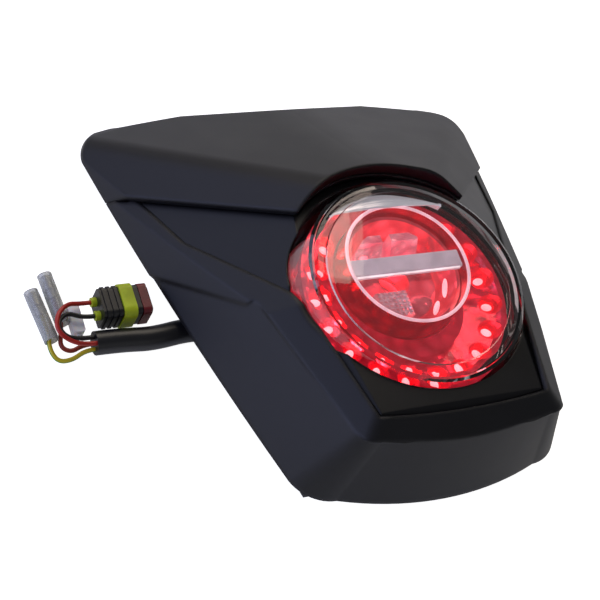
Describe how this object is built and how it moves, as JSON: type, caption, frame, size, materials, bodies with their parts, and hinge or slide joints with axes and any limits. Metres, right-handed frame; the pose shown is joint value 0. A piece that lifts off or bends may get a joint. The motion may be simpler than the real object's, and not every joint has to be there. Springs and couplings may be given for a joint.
{
  "type": "scooter tail light",
  "caption": "Hooded scooter tail light: black shell round a clear round lens over an LED lamp unit, with a short cable and sealed plug.",
  "frame": {"origin": "under the middle of the shell, on the plane of the four mounting boss faces", "axes": "+Z along the lens axis, out of the lens; +Y to the hood, which is the top when mounted; +X to the right"},
  "size_m": [0.2237, 0.1956, 0.0638],
  "materials": {
    "shell_black": "fine moulded grain",
    "panel_black": "satin",
    "clear_lens": "clear polished",
    "black_rubber": "soft matt",
    "housing_black": "moulded",
    "raw_aluminium": "pressed",
    "white_board": "solder mask",
    "led_package": "moulded",
    "red_metallised": "metallised",
    "bright_chrome": "polished",
    "pink_bezel": "metallised",
    "silver_bar": "satin metallised",
    "clear_optic": "prismatic",
    "dark_optic": "gloss",
    "brass_insert": "knurled",
    "steel_screw": "zinc plated",
    "cover_black": "moulded",
    "pvc_sleeve": "semi gloss",
    "brown_red_wire": "semi gloss",
    "green_yellow_wire": "semi gloss",
    "black_wire_skin": "semi gloss",
    "red_wire_skin": "semi gloss",
    "white_wire_skin": "semi gloss",
    "tinned_brass": "tinned",
    "clear_sleeve": "soft clear",
    "white_nylon": "moulded",
    "connector_black": "moulded",
    "seal_green": "soft",
    "lock_red": "moulded"
  },
  "bodies": {
    "lamp": {"visor_hood": "shell_black", "outer_frame": "shell_black", "ear_panel": "panel_black", "foot_panel": "panel_black", "lens_cover": "clear_lens", "lens_gasket": "black_rubber", "lamp_housing": "housing_black", "breather_cap": "black_rubber", "heat_spreader": "raw_aluminium", "led_board": "white_board", "ring_leds": "led_package", "board_resistors": "housing_black", "ring_reflector": "red_metallised", "chrome_eyebrow": "bright_chrome", "projector_ring": "pink_bezel", "projector_bowl": "red_metallised", "light_bar": "silver_bar", "reflector_facets": "pink_bezel", "optic_block": "clear_optic", "optic_frame": "dark_optic", "centre_led_board": "white_board", "centre_leds": "led_package", "carrier_plate": "housing_black", "threaded_inserts": "brass_insert", "frame_screws": "steel_screw", "hood_screws": "steel_screw", "panel_screws": "steel_screw", "housing_screws": "steel_screw", "cover_screws": "steel_screw", "back_cover": "cover_black", "cable_grommet": "black_rubber", "inner_cable": "pvc_sleeve", "splice_block": "white_nylon", "cable_sleeve": "pvc_sleeve", "brown_wire": "brown_red_wire", "green_wire": "green_yellow_wire", "black_wire": "black_wire_skin", "red_wire": "red_wire_skin", "white_lead": "white_wire_skin", "terminal_sleeves": "clear_sleeve", "bullet_terminals": "tinned_brass", "white_connector": "white_nylon", "connector_body": "connector_black", "connector_contacts": "tinned_brass", "connector_seal": "seal_green", "wire_seals": "seal_green"},
    "lock": {"lock_plate": "lock_red"}
  },
  "joints": [
    {"name": "lock_slide", "type": "slide", "parent": "lamp", "child": "lock", "axis": [1, 0, 0], "range_m": [0, 0.002]}
  ]
}
